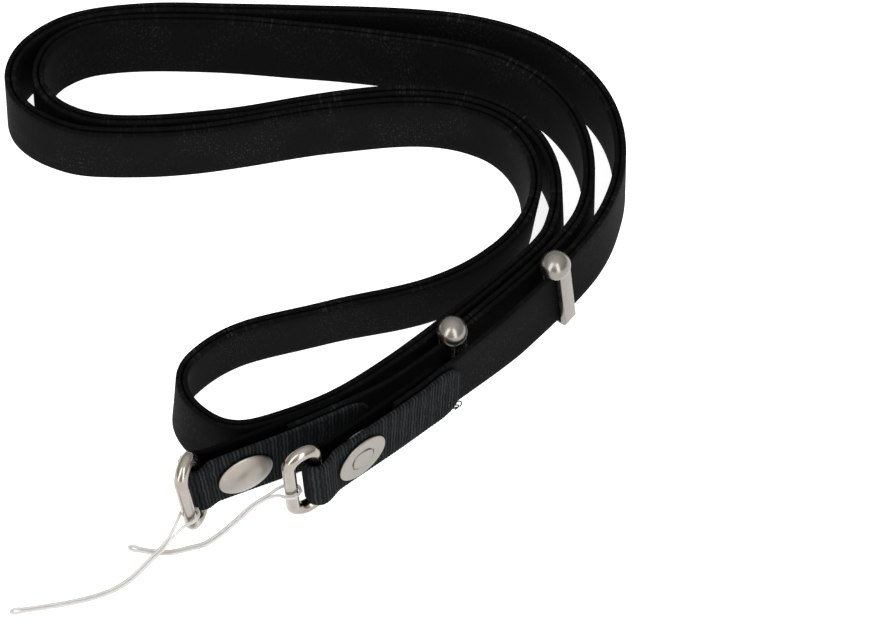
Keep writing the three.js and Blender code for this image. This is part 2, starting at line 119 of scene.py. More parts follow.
# Route of the doubled webbing, a row per fold: place as shares of the bundle's length and depth, lanes
# to the left of the seam, lean to the left in degrees, shares of the ring's and of the band's lift
ROUTE = [
    # front run, from ring B
    (-0.0149, -0.414, -1.5, -3, 1, 0),
    (0.1406, -0.2666, -1.54, -4, 0.3, 0.7),
    (0.292, -0.1076, -1.72, 2, 0, 1),
    (0.4042, 0.0357, -1.72, 3, 0, 1),
    # outermost lane of the right bend
    (0.4452, 0.1327, -1.55, 0, 0, 0.2),
    (0.4519, 0.2256, -1.5, 0, 0, 0),
    (0.4259, 0.3084, -1.5, 0, 0, 0),
    (0.3755, 0.3786, -1.17, 0, 0, 0),
    (0.2904, 0.4344, -0.83, -1, 0, 0),
    # outer lane of the far run
    (0.1585, 0.4666, -0.5, -2, 0, 0),
    (-0.0558, 0.4737, -0.5, -3, 0, 0),
    (-0.2609, 0.479, -0.5, -3, 0, 0),
    (-0.3749, 0.4608, -0.5, -2, 0, 0),
    # left fold, outer lane
    (-0.4423, 0.4169, -0.5, -1, 0, 0),
    (-0.4712, 0.3629, -0.5, 0, 0, 0),
    (-0.4633, 0.3111, -0.5, 0, 0, 0),
    (-0.418, 0.2689, -0.5, -2, 0, 0),
    (-0.338, 0.2451, -0.5, -4, 0, 0),
    # outer lane of the near run
    (-0.1829, 0.253, -0.5, -4, 0, 0),
    (0.0195, 0.2941, -0.5, -4, 0, 0),
    (0.1764, 0.3085, -0.5, -4, 0, 0),
    (0.2744, 0.2951, -1, -2, 0, 0),
    # innermost lane of the right bend
    (0.3471, 0.2424, -1.5, 2, 0, 0),
    (0.376, 0.1506, -1.5, 6, 0, 0),
    (0.3599, 0.0543, -1.5, 7, 0, 0),
    (0.2992, -0.0329, -1.5, 7, 0, 0),
    # far side of the small loop
    (0.1986, -0.1001, -1.5, 8, 0, 0),
    (0.0326, -0.1405, -1.17, 9, 0, 0),
    (-0.1063, -0.1781, -0.83, 9, 0, 0),
    # end of the small loop
    (-0.1776, -0.2268, -0.5, 7, 0, 0),
    (-0.1998, -0.2736, -0.25, 4, 0, 0),
    (-0.1849, -0.3259, 0, 2, 0, 0),
    (-0.1334, -0.3678, 0.25, 0, 0, 0),
    (-0.0623, -0.3651, 0.5, 0, 0, 0),
    # near side of the small loop
    (0.0579, -0.3022, 0.5, 0, 0, 0),
    (0.1978, -0.1824, 0.5, 0, 0, 0),
    (0.3424, -0.0287, 0.5, 0, 0, 0),
    # second lane of the right bend
    (0.3883, 0.0524, 0.5, 2, 0, 0),
    (0.3883, 0.1503, 0.25, 2, 0, 0),
    (0.3521, 0.2321, 0, 2, 0, 0),
    (0.2911, 0.2842, -0.25, 4, 0, 0),
    # inner lane of the near run
    (0.1975, 0.3076, -0.5, 4, 0, 0),
    (0.0576, 0.3032, -0.5, 4, 0, 0),
    (-0.1455, 0.2613, -0.5, 4, 0, 0),
    (-0.3062, 0.2469, -0.5, 3, 0, 0),
    # left fold, inner lane
    (-0.3929, 0.2686, -0.5, 1, 0, 0),
    (-0.4422, 0.3192, -0.5, 0, 0, 0),
    (-0.4462, 0.3835, -0.5, 0, 0, 0),
    (-0.4087, 0.4394, -0.5, 2, 0, 0),
    # inner lane of the far run
    (-0.3326, 0.4709, -0.5, 4, 0, 0),
    (-0.176, 0.4745, -0.5, 4, 0, 0),
    (0.0425, 0.4521, -0.5, 3, 0, 0),
    (0.2332, 0.4196, -0.5, 1, 0, 0),
    # third lane of the right bend
    (0.3353, 0.3616, 0, 0, 0, 0),
    (0.3892, 0.2891, 0.5, 0, 0, 0),
    (0.4216, 0.1998, 0.5, 0, 0, 0),
    (0.42, 0.1061, 0.5, 0, 0, 0),
    # run to ring A
    (0.3814, 0.0163, 0.5, 0, 0, 0.5),
    (0.2623, -0.1278, 0.5, 0, 0, 1),
    (0.1202, -0.2616, 0.5, 1, 0, 1),
    (-0.0214, -0.3532, 0.5, 2, 0.5, 0.5),
    (-0.1820, -0.4379, 0.5, 3, 1, 0),
]

# Lines of the two cord loops, from behind their ring's free bar round it, out and back
CORD_A = [
    (-20.97, -53.65, 7.2), (-20.62, -54.99, 7.1), (-21.32, -56.16, 6.9), (-23.44, -56.74, 5.6),
    (-25.19, -57.92, 4.4), (-27.15, -59.88, 3), (-29.75, -62.28, 1.8), (-33.07, -65.5, 0.9),
    (-36.22, -67.53, 0.5), (-39.76, -68.95, 0.35), (-43.99, -70.16, 0.35), (-47.8, -70.96, 0.35),
    (-52.31, -71.78, 0.35), (-54.3, -72.17, 0.35), (-54.9, -71.84, 0.35), (-54.42, -71.34, 0.35),
    (-52.42, -71.13, 0.35), (-47.92, -70.35, 0.35), (-44.14, -69.56, 0.35), (-39.96, -68.36, 0.35),
    (-36.5, -66.98, 0.5), (-33.46, -65.01, 0.9), (-30.18, -61.83, 1.8), (-27.58, -59.43, 3),
    (-25.74, -57.4, 4.4), (-24.68, -55.58, 5.6), (-23.64, -53.36, 6.1), (-22.38, -52.8, 6.2),
    (-21.1, -53.33, 6.4),
]
CORD_B = [
    (-1.88, -51.84, 10.2), (-2.62, -53, 10.1), (-3.97, -53.28, 9.9), (-5.88, -52.1, 9),
    (-7.29, -51.74, 8.1), (-8.96, -51.95, 6.9), (-11.01, -52.63, 5.4), (-13.68, -54.12, 3.3),
    (-16.89, -56.02, 1.4), (-19.62, -57.44, 0.5), (-22.76, -58.35, 0.35), (-25.91, -59.16, 0.35),
    (-28.97, -59.06, 0.35), (-31.61, -58.57, 0.35), (-33.15, -58.25, 0.35), (-33.56, -57.71, 0.35),
    (-32.93, -57.44, 0.35), (-31.47, -57.93, 0.35), (-28.9, -58.44, 0.35), (-25.97, -58.54, 0.35),
    (-22.92, -57.75, 0.35), (-19.85, -56.86, 0.5), (-17.19, -55.48, 1.4), (-13.99, -53.58, 3.3),
    (-11.26, -52.06, 5.4), (-9.12, -51.35, 6.9), (-7.39, -50.95, 8.1), (-6, -50.4, 9),
    (-3.62, -49.58, 9.1), (-2.34, -50.13, 9.2), (-1.81, -51.44, 9.4),
]

# Camera: 55 degrees above the ground, 1.6 m away, 164.5 mm wide where it looks
ELEVATION = math.radians(55)
VIEW_DISTANCE = 1600
VIEW_WIDTH = 164.54
LOOK_AT = Vector((23.5, -5.1, 0)) - CENTRE
SENSOR = 36


def new_object(name, data):
    """An object in the scene"""
    thing = bpy.data.objects.new(name, data)
    bpy.context.scene.collection.objects.link(thing)
    return thing


def set_camera():
    data = bpy.data.cameras.new("camera")
    data.sensor_width = SENSOR
    data.lens = SENSOR * VIEW_DISTANCE / VIEW_WIDTH
    data.clip_start = 0.05
    data.clip_end = 20
    camera = new_object("camera", data)
    back = Vector((0, -math.cos(ELEVATION), math.sin(ELEVATION)))
    camera.location = (LOOK_AT + back * VIEW_DISTANCE) * MM
    camera.rotation_euler = (math.pi / 2 - ELEVATION, 0, 0)
    bpy.context.scene.camera = camera


set_camera()


# Colours and nodes
def hue(code):
    """Linear colour of an sRGB hex value"""
    parts = [int(code[i:i + 2], 16) / 255 for i in (1, 3, 5)]
    linear = [p / 12.92 if p <= 0.04045 else ((p + 0.055) / 1.055) ** 2.4 for p in parts]
    return (*linear, 1)


def add(tree, kind, inputs=None, **settings):
    """Adds a node with its settings; an input is a value or another node's output"""
    node = tree.nodes.new(kind)
    for name, value in settings.items():
        setattr(node, name, value)
    for name, value in (inputs or {}).items():
        socket = node.inputs[name]
        if isinstance(value, bpy.types.NodeSocket):
            tree.links.new(value, socket)
        else:
            socket.default_value = value
    return node


def new_material(name):
    """An empty material and its node tree"""
    material = bpy.data.materials.new(name)
    material.use_nodes = True
    material.node_tree.nodes.clear()
    return material, material.node_tree


def finish_material(tree, inputs):
    """Ends a material in one shader"""
    shader = add(tree, "ShaderNodeBsdfPrincipled", inputs)
    add(tree, "ShaderNodeOutputMaterial", {"Surface": shader.outputs["BSDF"]})


def blend_colours(tree, share, first, second):
    """The first colour where the share is 0, the second where it is 1"""
    mix = add(tree, "ShaderNodeMix", {0: share, 6: first, 7: second}, data_type="RGBA")
    return mix.outputs[2]


def object_place(tree):
    return add(tree, "ShaderNodeTexCoord").outputs["Object"]


def weave_map(tree):
    """Place on a ribbon, along it and up it, in metres"""
    return add(tree, "ShaderNodeUVMap", uv_map="weave").outputs["UV"]


def noise(tree, place, scale, detail):
    """Soft clouds from 0 to 1, about scale of them a metre"""
    return add(tree, "ShaderNodeTexNoise", {"Vector": place, "Scale": scale, "Detail": detail}).outputs["Fac"]


def calculate(tree, operation, *values):
    return add(tree, "ShaderNodeMath", dict(enumerate(values)), operation=operation).outputs[0]


def remap(tree, value, low, high, to_low=0, to_high=1):
    """A value between low and high, brought to another range"""
    inputs = {"Value": value, "From Min": low, "From Max": high, "To Min": to_low, "To Max": to_high}
    return add(tree, "ShaderNodeMapRange", inputs).outputs["Result"]


def relief(tree, height, strength, depth):
    """Normal of a fine relief, its depth in millimetres"""
    inputs = {"Height": height, "Strength": strength, "Distance": depth * MM}
    return add(tree, "ShaderNodeBump", inputs).outputs["Normal"]


# Clouds and grain in the finishes, as a number a metre
RIB_SWAY = 420
WEBBING_CLOUDS = 90
WEBBING_GRAIN = 2600
RIBBON_CLOUDS = 240
RIBBON_GRAIN = 2200
METAL_CLOUDS = 700
METAL_GRAIN = 5000
CORD_CLOUDS = 900


def woven_ribs(tree, rib, wander):
    """Height, 0 to 1, of ribs across a ribbon; they follow each other along the weave map's first axis and
    wander by some millimetres"""
    uv = weave_map(tree)
    sway = noise(tree, uv, RIB_SWAY, 2)
    along = add(tree, "ShaderNodeSeparateXYZ", {"Vector": uv}).outputs["X"]
    moved = calculate(tree, "MULTIPLY_ADD", sway, wander * MM, along)
    turn = calculate(tree, "MULTIPLY", moved, 2 * math.pi / (rib * MM))
    return remap(tree, calculate(tree, "SINE", turn), -1, 1)


# Finish of the webbing and the ribbon: wander and depth in millimetres, ranges as shares, two of them for
# painted sheen
PICK_WANDER = 0.3
GRAIN_STRETCH = 0.5
CLOUD_IN_TONE = 0.55
TONE_RANGE = (0.55, 1.0)
PAINTED_SHEEN_GRAIN = (0.56, 0.68)
PAINTED_SHEEN_CLOUDS = (0.45, 0.65)
WEAVE_DEPTH = 0.05


def satin_webbing():
    """Black polyester webbing, woven in a fine satin: nearly black, with a painted sheen in the base colour
    that lightens its picks
    """
    material, tree = new_material("woven_black_polyester_webbing")
    picks = woven_ribs(tree, WEBBING_PICK, PICK_WANDER)
    cloud = noise(tree, object_place(tree), WEBBING_CLOUDS, 3)
    stretched = add(tree, "ShaderNodeMapping", {"Vector": weave_map(tree), "Scale": (1, GRAIN_STRETCH, 1)})
    grain = noise(tree, stretched.outputs["Vector"], WEBBING_GRAIN, 3)
    tone = remap(tree, calculate(tree, "MULTIPLY_ADD", cloud, CLOUD_IN_TONE, grain), *TONE_RANGE)
    ground = blend_colours(tree, tone, hue("#050505"), hue("#0a0a0a"))
    # Painted sheen: the picks, broken up by grain and clouds, lighten the base colour towards #272727
    painted_sheen = calculate(tree, "MULTIPLY_ADD", picks, 0.5, 0.5)
    painted_sheen = calculate(tree, "MULTIPLY", painted_sheen, remap(tree, grain, *PAINTED_SHEEN_GRAIN))
    painted_sheen = calculate(tree, "MULTIPLY", painted_sheen, remap(tree, cloud, *PAINTED_SHEEN_CLOUDS))
    colour = blend_colours(tree, painted_sheen, ground, hue("#272727"))
    level = calculate(tree, "MULTIPLY_ADD", grain, 0.6, picks)
    finish_material(tree, {
        "Base Color": colour, "Roughness": 0.7, "IOR": 1.5, "Specular IOR Level": 0.02,
        "Normal": relief(tree, level, 0.25, WEAVE_DEPTH),
    })
    return material


# Ribs of the ribbon, the broad ribs that gather them, and where past the fold's start the painted shade of
# the rear layer begins
RIB_WANDER = 0.9
BROAD_RIB = 3.3 * RIB
BROAD_WANDER = 2.5
BROAD_SHARE = 0.6
CLOUD_IN_CREST = 0.6
CREST_RANGE = (0.5, 1.1)
REAR_SHADE_START = 2
REAR_SHADE_FULL = 6


def grosgrain_ribbon():
    """Grosgrain: thick weft ribs across the ribbon, uneven, with a painted highlight on their crests and
    painted shade between them;
    past the fold, the rear layer is painted black as shade"""
    material, tree = new_material("grosgrain_ribbon")
    ribs = woven_ribs(tree, RIB, RIB_WANDER)
    broad = woven_ribs(tree, BROAD_RIB, BROAD_WANDER)
    place = object_place(tree)
    grain = noise(tree, place, RIBBON_GRAIN, 2)
    cloud = noise(tree, place, RIBBON_CLOUDS, 2)
    share = remap(tree, calculate(tree, "MULTIPLY_ADD", cloud, CLOUD_IN_CREST, grain), *CREST_RANGE)
    crest = blend_colours(tree, share, hue("#171a1b"), hue("#2a2e30"))
    # Painted light and shade: rib height sets the colour, crests lighter as a painted highlight, hollows
    # between ribs a painted near-black shade
    height = calculate(tree, "MULTIPLY_ADD", broad, BROAD_SHARE, 1 - BROAD_SHARE)
    height = calculate(tree, "MULTIPLY", height, ribs)
    colour = blend_colours(tree, height, hue("#070808"), crest)
    along = add(tree, "ShaderNodeSeparateXYZ", {"Vector": weave_map(tree)}).outputs["X"]
    # Painted shade: past the fold the rear layer fades to near-black #030303
    rear = remap(tree, along, REAR_SHADE_START * MM, REAR_SHADE_FULL * MM)
    colour = blend_colours(tree, rear, colour, hue("#030303"))
    finish_material(tree, {
        "Base Color": colour, "Roughness": 0.75, "IOR": 1.5, "Specular IOR Level": 0.02,
        "Normal": relief(tree, grain, 0.35, WEAVE_DEPTH),
    })
    return material


WEAR_RANGE = (0.3, 0.7)
METAL_DEPTH = 0.01


def nickel_plate(name, light, dark, low, high, turned=0.0):
    """Nickel plate on a casting or a stamping: warm grey, with faint cloudy wear in its gloss"""
    material, tree = new_material(name)
    place = object_place(tree)
    cloud = noise(tree, place, METAL_CLOUDS, 4)
    settings = {
        "Base Color": blend_colours(tree, cloud, hue(dark), hue(light)), "Metallic": 1.0,
        "Roughness": remap(tree, cloud, *WEAR_RANGE, low, high),
        "Normal": relief(tree, noise(tree, place, METAL_GRAIN, 2), 0.08, METAL_DEPTH),
    }
    if turned:
        around = add(tree, "ShaderNodeTangent", direction_type="RADIAL", axis="Z")
        settings.update({"Anisotropic": turned, "Tangent": around.outputs["Tangent"]})
    finish_material(tree, settings)
    return material


def nylon_cord():
    """Milky nylon cord, drawn smooth: light passes through it, so its shade side stays pale"""
    material, tree = new_material("milky_nylon_cord")
    cloud = noise(tree, object_place(tree), CORD_CLOUDS, 3)
    colour = blend_colours(tree, cloud, hue("#b8b6b3"), hue("#c4c2bf"))
    finish_material(tree, {
        "Base Color": colour, "Roughness": 0.5, "IOR": 1.3, "Specular IOR Level": 0.3,
        "Transmission Weight": 0.5, "Subsurface Weight": 0.8,
        "Subsurface Scale": CORD * MM, "Subsurface Radius": (1, 1, 1),
        "Normal": relief(tree, cloud, 0.2, WEAVE_DEPTH),
    })
    return material


# Shapes: every length in millimetres until the mesh is made
SHARP_EDGE = math.radians(40)


def mesh_piece(name, points, faces, material, weave=None, place=None):
    """A smooth mesh object; edges sharper than 40 degrees stay sharp"""
    mesh = bpy.data.meshes.new(name)
    mesh.from_pydata([tuple(p * MM) for p in points], [], faces)
    if weave:
        layer = mesh.uv_layers.new(name="weave")
        ends = [0] * len(mesh.loops)
        mesh.loops.foreach_get("vertex_index", ends)
        layer.data.foreach_set("uv", [c * MM for i in ends for c in weave[i]])
    shape = bmesh.new()
    shape.from_mesh(mesh)
    bmesh.ops.recalc_face_normals(shape, faces=shape.faces)
    for face in shape.faces:
        face.smooth = True
    for edge in shape.edges:
        if len(edge.link_faces) == 2:
            edge.smooth = edge.calc_face_angle(0) < SHARP_EDGE
    shape.to_mesh(mesh)
    shape.free()
    mesh.materials.append(material)
    piece = new_object(name, mesh)
    if place:
        piece.matrix_world = place
    return piece


def plain_mesh(name, points, faces):
    """A mesh object that only serves to cut or to be cut, in millimetres"""
    mesh = bpy.data.meshes.new(name)
    mesh.from_pydata([tuple(p) for p in points], [], faces)
    shape = bmesh.new()
    shape.from_mesh(mesh)
    bmesh.ops.recalc_face_normals(shape, faces=shape.faces)
    shape.to_mesh(mesh)
    shape.free()
    return new_object(name, mesh)


def swept(rows, closed=False):
    """Points and faces of a body whose loops follow each other"""
    size = len(rows[0])
    points = [p for row in rows for p in row]
    last = len(rows) if closed else len(rows) - 1
    faces = []
    for i in range(last):
        a, b = i * size, (i + 1) % len(rows) * size
        for j in range(size):
            k = (j + 1) % size
            faces.append((a + j, a + k, b + k, b + j))
    if not closed:
        faces.append(tuple(reversed(range(size))))
        faces.append(tuple(range((len(rows) - 1) * size, len(rows) * size)))
    return points, faces


def circle(parts):
    """Angles of the points round a circle"""
    return [2 * math.pi * k / parts for k in range(parts)]


def catmull(points, parts):
    """Smooth line through points, with knots spaced by the root of their distances"""
    points = [Vector(p) for p in points]
    ends = [points[0] * 2 - points[1], *points, points[-1] * 2 - points[-2]]
    line = []
    for a, b, c, d in zip(ends, ends[1:], ends[2:], ends[3:]):
        ta, tb, tc = [math.sqrt((q - p).length) for p, q in ((a, b), (b, c), (c, d))]
        start = ((b - a) / ta - (c - a) / (ta + tb) + (c - b) / tb) * tb
        end = ((c - b) / tb - (d - b) / (tb + tc) + (d - c) / tc) * tb
        for i in range(parts):
            s = i / parts
            line.append((2 * s ** 3 - 3 * s ** 2 + 1) * b + (s ** 3 - 2 * s ** 2 + s) * start
                        + (3 * s ** 2 - 2 * s ** 3) * c + (s ** 3 - s ** 2) * end)
    line.append(points[-1])
    return line


def declare(piece, node):
    """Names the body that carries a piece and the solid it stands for"""
    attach(piece, "root")
    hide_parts(node)


CORD_PARTS = 8


def cord_loop(name, node, route, material):
    line = catmull(route, CORD_PARTS)
    data = bpy.data.curves.new(name, "CURVE")
    data.dimensions = "3D"
    data.bevel_depth = CORD / 2 * MM
    data.bevel_resolution = 4
    data.use_fill_caps = True
    spline = data.splines.new("POLY")
    spline.points.add(len(line) - 1)
    for knot, point in zip(spline.points, line):
        knot.co = (*(point * MM), 1)
    data.materials.append(material)
    piece = new_object(name, data)
    declare(piece, node)


cord_stuff = nylon_cord()
cord_loop("thin_cord_a", "cord_loop_a", CORD_A, cord_stuff)
cord_loop("thin_cord_b", "cord_loop_b", CORD_B, cord_stuff)


# Route of the doubled webbing: t counts its rows, s is the distance along it
LAST = len(ROUTE) - 1
ROW_KNOTS = 50
RUN_STEP = 0.01


def seam(i):
    """Place of the bundle's seam at a row"""
    row = ROUTE[min(max(i, 0), LAST)]
    return Vector((row[0] * BUNDLE_LENGTH, row[1] * BUNDLE_DEPTH))


def station(i):
    """Place of the doubled webbing at a row, in its own lane"""
    run = (seam(i + 1) - seam(i - 1)).normalized()
    return seam(i) + Vector((-run.y, run.x)) * ROUTE[i][2] * LANE


stations = [station(i) for i in range(LAST + 1)]
padded = [stations[0] * 2 - stations[1], *stations, stations[-1] * 2 - stations[-2]]


def plan(t):
    """Place of the doubled webbing on the ground"""
    i = min(int(t), LAST - 1)
    f = t - i
    a, b, c, d = padded[i:i + 4]
    bend = (2 * a - 5 * b + 4 * c - d) * f ** 2
    return 0.5 * (2 * b + (c - a) * f + bend + (3 * b - a - 3 * c + d) * f ** 3)


def even(column, t):
    """Value of a column between two rows"""
    i = min(int(t), LAST - 1)
    return ROUTE[i][column] + (ROUTE[i + 1][column] - ROUTE[i][column]) * (t - i)


def web_frame(t):
    """Place, run, side and up of the doubled webbing"""
    run = (plan(min(t + RUN_STEP, LAST)) - plan(max(t - RUN_STEP, 0))).normalized()
    lean = math.radians(even(3, t))
    along = Vector((run.x, run.y, 0))
    left = Vector((-run.y, run.x, 0))
    side = left * math.cos(lean) - Vector((0, 0, math.sin(lean)))
    up = left * math.sin(lean) + Vector((0, 0, math.cos(lean)))
    lift = even(4, t) * RING_LIFT + even(5, t) * BAND_LIFT
    half = math.cos(lean) * STRAP_WIDTH / 2 + abs(math.sin(lean)) * (PITCH + WEB) / 2
    spot = plan(t)
    return Vector((spot.x, spot.y, lift + half)) - CENTRE, along, side, up


knots = [i / ROW_KNOTS for i in range(LAST * ROW_KNOTS + 1)]
distances = [0.0]
for first, second in zip(knots, knots[1:]):
    distances.append(distances[-1] + (plan(second) - plan(first)).length)
FULL = distances[-1]


def knot_at(s):
    """The t at a distance along the route"""
    i = min(max(bisect.bisect_right(distances, s) - 1, 0), len(knots) - 2)
    return knots[i] + (s - distances[i]) / (distances[i + 1] - distances[i]) / ROW_KNOTS


def end_frame(end, distance):
    """Place, along, up and viewer's side of a webbing's end, by distance from the ring's bar"""
    sign, offset, pitch, viewer = end
    reach = max(distance, 0)
    t = knot_at(reach if sign > 0 else FULL - reach)
    at, along, side, up = web_frame(min(max(t, 0), LAST))
    along = along * sign
    tip = math.radians(pitch) * max(0, 1 - distance / PITCH_LENGTH)
    up = up * math.cos(tip) - along * math.sin(tip)
    at = at + side * offset + along * min(distance, 0)
    return at, along, up, side * viewer


# Ends: which way the webbing leaves the ring, its layer's offset, the tab's pitch and the viewer's side
END_A = (-1, PITCH / 2, TAB_A_PITCH, 1)
END_B = (1, -PITCH / 2, TAB_B_PITCH, -1)


def smooth(x, low, high):
    """A soft step from 0 at low to 1 at high"""
    x = min(max((x - low) / (high - low), 0), 1)
    return x * x * (3 - 2 * x)


def ribbon_section(half, edge, rim, flats, rounds):
    """Loop of across and up round a ribbon: two flat faces and two rounded rims, each in parts"""
    arc = [i * math.pi / rounds for i in range(1, rounds)]
    loop = [(half, edge * (2 * i / flats - 1)) for i in range(flats + 1)]
    loop += [(half * math.cos(a), edge + rim * math.sin(a)) for a in arc]
    loop += [(-half, edge * (1 - 2 * i / flats)) for i in range(flats + 1)]
    loop += [(-half * math.cos(a), -edge - rim * math.sin(a)) for a in arc]
    return loop


# Webbing, with slight waves that both layers share: their heights, and the length of each radian
SWAY = 0.05
SWAY_SHORT = 5.3
SWAY_LONG = 17
EDGE_SWAY = 7.9
EDGE_SWAY_START = 1.3
RIPPLE = 0.03
RIPPLE_LENGTH = 2.9
TOP_RISE = 0.06
TOP_RISE_LENGTH = 11
WEBBING_STEP = 0.8


def waves(s, y):
    """Slight sway of the webbing, more at its edges"""
    high = y / STRAP_WIDTH * 2
    middle = math.sin(s / SWAY_SHORT) * math.cos(s / SWAY_LONG)
    edges = high * math.sin(s / EDGE_SWAY + EDGE_SWAY_START)
    return SWAY * (middle + edges) + RIPPLE * abs(high) * math.sin(s / RIPPLE_LENGTH)


def webbing(name, node, first, last, offset, material):
    section = ribbon_section(WEB / 2, STRAP_WIDTH / 2 - WEB / 2, WEB / 2, flats=8, rounds=6)
    count = int((last - first) / WEBBING_STEP)
    rows = []
    weave = []
    for i in range(count + 1):
        s = first + (last - first) * i / count
        at, _, side, up = web_frame(knot_at(s))
        rise = TOP_RISE * math.sin(s / TOP_RISE_LENGTH + offset)
        rows.append([at + side * (offset + x + waves(s, y)) + up * (y + rise * (y > 0)) for x, y in section])
        weave += [(s, y) for x, y in section]
    points, faces = swept(rows)
    declare(mesh_piece(name, points, faces, material, weave), node)


webbing_stuff = satin_webbing()
webbing("webbing_a", "strap_a", ADJUSTER_2_PLACE, FULL - STRAP_IN_TAB, PITCH / 2, webbing_stuff)
webbing("webbing_b", "strap_b", STRAP_IN_TAB, FULL - ADJUSTER_1_PLACE, -PITCH / 2, webbing_stuff)


THREAD_SIDES = 6
THREAD_PARTS = 6


def thread(line, side):
    """Points and faces of a thin strand along a line; side is a direction across it"""
    rows = []
    for i, point in enumerate(line):
        run = (line[min(i + 1, len(line) - 1)] - line[max(i - 1, 0)]).normalized()
        out = run.cross(side).normalized()
        rows.append([point + (out * math.cos(a) + side * math.sin(a)) * (THREAD / 2)
                     for a in circle(THREAD_SIDES)])
    return swept(rows)


# End tabs: ribbed ribbon round the ring's bar, its near layer with a rounded and thinner tip
RIB_DEPTH = 0.07
RIB_PARTS = 4
TIP_ROUNDING = 0.85
TIP_THICKNESS = 0.6
TIP_TAPER = 1.5
TAB_SWAY = 0.05
TAB_SWAY_LENGTH = 3.1


def tab(name, node, end, length, opening, material, loose=()):
    fold = math.pi * FOLD
    back = length - TIP_ROUND
    whole = length + fold + back
    edge = STRAP_WIDTH / 2 - RIBBON / 2
    section = ribbon_section(1, edge, RIBBON / 2, flats=10, rounds=5)
    count = int(whole / (RIB / RIB_PARTS))
    rows = []
    weave = []
    for i in range(count + 1):
        s = whole * i / count
        near = s < length
        thick = RIBBON / 2 * (1 - RIB_DEPTH + RIB_DEPTH * math.sin(2 * math.pi * s / RIB))
        if near or s > length + fold:
            distance = length - s if near else s - length - fold
            at, along, up, side = end_frame(end, distance)
            share = smooth(distance, 0, opening)
            side = side * (1 if near else -1)
            at = at + side * (FOLD + (SPACING - FOLD) * share)
            narrow = FOLD_NARROW + (1 - FOLD_NARROW) * share
        else:
            at, along, up, side = end_frame(end, 0)
            turn = (s - length) / FOLD
            side = side * math.cos(turn) - along * math.sin(turn)
            at = at + side * FOLD
            narrow = FOLD_NARROW
        if near:
            past = max(0, 1 - s / TIP_ROUND)
            cut = TIP_ROUND * TIP_ROUNDING * (1 - math.sqrt(max(0, 1 - past ** 2)))
            narrow *= 1 - 2 * cut / STRAP_WIDTH
            thick *= TIP_THICKNESS + (1 - TIP_THICKNESS) * smooth(s, 0, TIP_TAPER)
        bulge = TAB_SWAY * math.sin(s / TAB_SWAY_LENGTH)
        rows.append([at + side * (x * thick) + up * ((y + bulge * abs(y) / edge) * narrow)
                     for x, y in section])
        weave += [(s - length, y) for x, y in section]
    points, faces = swept(rows)
    for strand in loose:
        line = []
        for distance, high, out in catmull(strand, THREAD_PARTS):
            at, along, up, side = end_frame(end, distance)
            line.append(at + side * (SPACING + out) + up * high)
        more, sides = thread(line, side)
        faces += [tuple(len(points) + i for i in face) for face in sides]
        points += more
        weave += [(0, 0)] * len(more)
    declare(mesh_piece(name, points, faces, material, weave), node)


# Loose threads: distance from the bar, height, and lift off the ribbon
FRAYED_TIP = [
    [(32.6, -5.7, 0), (33.3, -6.4, 0.1), (33.9, -6.9, 0.2), (33.7, -7.6, 0.1), (33.1, -7.8, 0)],
    [(33.2, -5.2, 0), (34, -5.7, 0.1), (34.5, -6.3, 0.1), (34.6, -7, 0.2), (34.2, -7.6, 0.2)],
    [(32.2, -6.3, 0), (32.7, -7, 0), (33.4, -7.2, 0.1), (33.8, -7.8, 0.1)],
]
ribbon_stuff = grosgrain_ribbon()
tab("ribbon_tab_a", "end_tab_a", END_A, TAB_A_LENGTH, OPENING_A_LENGTH, ribbon_stuff)
tab("ribbon_tab_b", "end_tab_b", END_B, TAB_B_LENGTH, OPENING_B_LENGTH, ribbon_stuff, FRAYED_TIP)


# Rings: round wire bent to two bars with rounded corners
CORNER_PARTS = 16
WIRE_PARTS = 24


def ring(name, node, end, turn, material):
    at, along, up, _ = end_frame(end, 0)
    away = (up * along.dot(up) - along).normalized()
    away.rotate(Matrix.Rotation(math.radians(turn), 4, up))
    through = up.cross(away).normalized()
    at = at + up * ((RING_SLACK - RING_CLEAR) / 2)
    top = (STRAP_WIDTH + RING_CLEAR + RING_SLACK + WIRE) / 2
    corners = [
        (BAR_ROUND, top - BAR_ROUND, BAR_ROUND, 2),
        (RING_SPREAD - RING_ROUND, top - RING_ROUND, RING_ROUND, 1),
        (RING_SPREAD - RING_ROUND, RING_ROUND - top, RING_ROUND, 0),
        (BAR_ROUND, BAR_ROUND - top, BAR_ROUND, -1),
    ]
    line = []
    for x, y, radius, quarter in corners:
        angles = [math.pi / 2 * (quarter - k / CORNER_PARTS) for k in range(CORNER_PARTS + 1)]
        line += [(x + radius * math.cos(a), y + radius * math.sin(a)) for a in angles]
    rows = []
    for i, (x, y) in enumerate(line):
        before = Vector(line[i - 1])
        after = Vector(line[(i + 1) % len(line)])
        run = (after - before).normalized()
        out = away * -run.y + up * run.x
        spot = at + away * x + up * y
        rows.append([spot + (out * math.cos(a) + through * math.sin(a)) * (WIRE / 2)
                     for a in circle(WIRE_PARTS)])
    points, faces = swept(rows, closed=True)
    declare(mesh_piece(name, points, faces, material), node)


wire_stuff = nickel_plate("nickel_plated_wire", "#928c85", "#7e7871", 0.16, 0.24)
ring("wire_ring_a", "ring_a", END_A, RING_A_TURN, wire_stuff)
ring("wire_ring_b", "ring_b", END_B, RING_B_TURN, wire_stuff)


# Snap buttons: turned discs, each in a frame of its own whose Z is its axis
DISC_PARTS = 96


